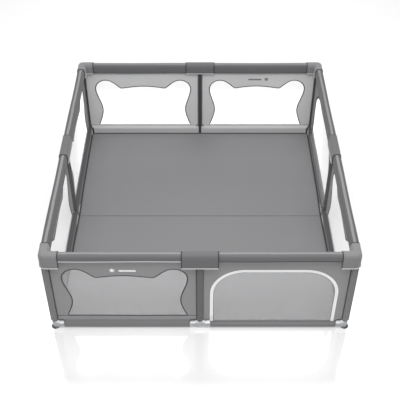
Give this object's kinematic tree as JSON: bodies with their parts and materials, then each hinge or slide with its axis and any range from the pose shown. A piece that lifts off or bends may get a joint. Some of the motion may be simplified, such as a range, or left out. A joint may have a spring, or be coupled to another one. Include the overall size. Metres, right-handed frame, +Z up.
{
  "type": "playpen",
  "caption": "Rectangular fabric playpen on a plugged tube frame, with padded top rails, mesh windows, a fabric floor and zipped doors that fold down.",
  "frame": {"origin": "on the ground under the middle of the pen, the bottom centre of the whole object's box", "axes": "+Z up, front side with one door facing -Y, the side with the other door facing +X"},
  "size_m": [1.8, 2, 0.63],
  "materials": {
    "steel_tube": "grey painted steel tube, satin",
    "hub_plastic": "moulded grey plastic, matt",
    "foot_plastic": "smoky half-clear moulded plastic, glossy",
    "cup_rubber": "soft dark grey rubber, satin",
    "cover_cloth": "padded woven polyester with a slight sheen",
    "sleeve_cloth": "padded woven polyester, dark grey",
    "wall_cloth": "woven polyester, mid grey, matt",
    "floor_cloth": "coated woven polyester, mid grey",
    "mesh_cloth": "light grey open net in a cloth frame",
    "zip_metal": "light grey enamel"
  },
  "bodies": {
    "root": {"top_rail_front_left": "steel_tube", "top_rail_front_right": "steel_tube", "top_rail_right_front": "steel_tube", "top_rail_right_rear": "steel_tube", "top_rail_back_right": "steel_tube", "top_rail_back_left": "steel_tube", "top_rail_left_rear": "steel_tube", "top_rail_left_front": "steel_tube", "bottom_rail_front": "steel_tube", "bottom_rail_right": "steel_tube", "bottom_rail_back": "steel_tube", "bottom_rail_left": "steel_tube", "middle_post_front": "steel_tube", "middle_post_right": "steel_tube", "middle_post_back": "steel_tube", "middle_post_left": "steel_tube", "corner_post_front_right": "steel_tube", "corner_post_back_right": "steel_tube", "corner_post_back_left": "steel_tube", "corner_post_front_left": "steel_tube", "top_corner_hub_front_right": "hub_plastic", "top_corner_hub_back_right": "hub_plastic", "top_corner_hub_back_left": "hub_plastic", "top_corner_hub_front_left": "hub_plastic", "top_tee_hub_front": "hub_plastic", "top_tee_hub_right": "hub_plastic", "top_tee_hub_back": "hub_plastic", "top_tee_hub_left": "hub_plastic", "corner_foot_front_right": "foot_plastic", "corner_foot_back_right": "foot_plastic", "corner_foot_back_left": "foot_plastic", "corner_foot_front_left": "foot_plastic", "tee_foot_front": "foot_plastic", "tee_foot_right": "foot_plastic", "tee_foot_back": "foot_plastic", "tee_foot_left": "foot_plastic", "suction_cup_front_right": "cup_rubber", "suction_cup_back_right": "cup_rubber", "suction_cup_back_left": "cup_rubber", "suction_cup_front_left": "cup_rubber", "top_sleeve": "sleeve_cloth", "corner_cover_front_right": "cover_cloth", "corner_cover_back_right": "cover_cloth", "corner_cover_back_left": "cover_cloth", "corner_cover_front_left": "cover_cloth", "tee_cover_front": "cover_cloth", "tee_cover_right": "cover_cloth", "tee_cover_back": "cover_cloth", "tee_cover_left": "cover_cloth", "wall_front": "wall_cloth", "wall_right": "wall_cloth", "wall_back": "wall_cloth", "wall_left": "wall_cloth", "floor_panel": "floor_cloth"},
    "door_front": {"door_front": "mesh_cloth"},
    "zip_slider_front": {"zip_slider_front": "zip_metal"},
    "zip_pull_front": {"zip_pull_front": "zip_metal"},
    "door_right": {"door_right": "mesh_cloth"},
    "zip_slider_right": {"zip_slider_right": "zip_metal"},
    "zip_pull_right": {"zip_pull_right": "zip_metal"}
  },
  "joints": [
    {"name": "door_front_fold", "type": "hinge", "parent": "root", "child": "door_front", "pos_m": [0.4303, -0.9735, 0.0455], "axis": [1, 0, 0], "range_deg": [0, 95]},
    {"name": "door_right_fold", "type": "hinge", "parent": "root", "child": "door_right", "pos_m": [0.8735, 0.4797, 0.0455], "axis": [0, 1, 0], "range_deg": [0, 95]},
    {"name": "zip_front_slide", "type": "slide", "parent": "root", "child": "zip_slider_front", "axis": [0, 0, 1], "range_m": [0, 0.2]},
    {"name": "zip_right_slide", "type": "slide", "parent": "root", "child": "zip_slider_right", "axis": [0, 0, 1], "range_m": [0, 0.2]},
    {"name": "pull_front_swing", "type": "hinge", "parent": "zip_slider_front", "child": "zip_pull_front", "pos_m": [0.0679, -0.9815, 0.0825], "axis": [-1, 0, 0], "range_deg": [0, 170]},
    {"name": "pull_right_swing", "type": "hinge", "parent": "zip_slider_right", "child": "zip_pull_right", "pos_m": [0.8815, 0.0768, 0.0825], "axis": [0, -1, 0], "range_deg": [0, 170]}
  ]
}
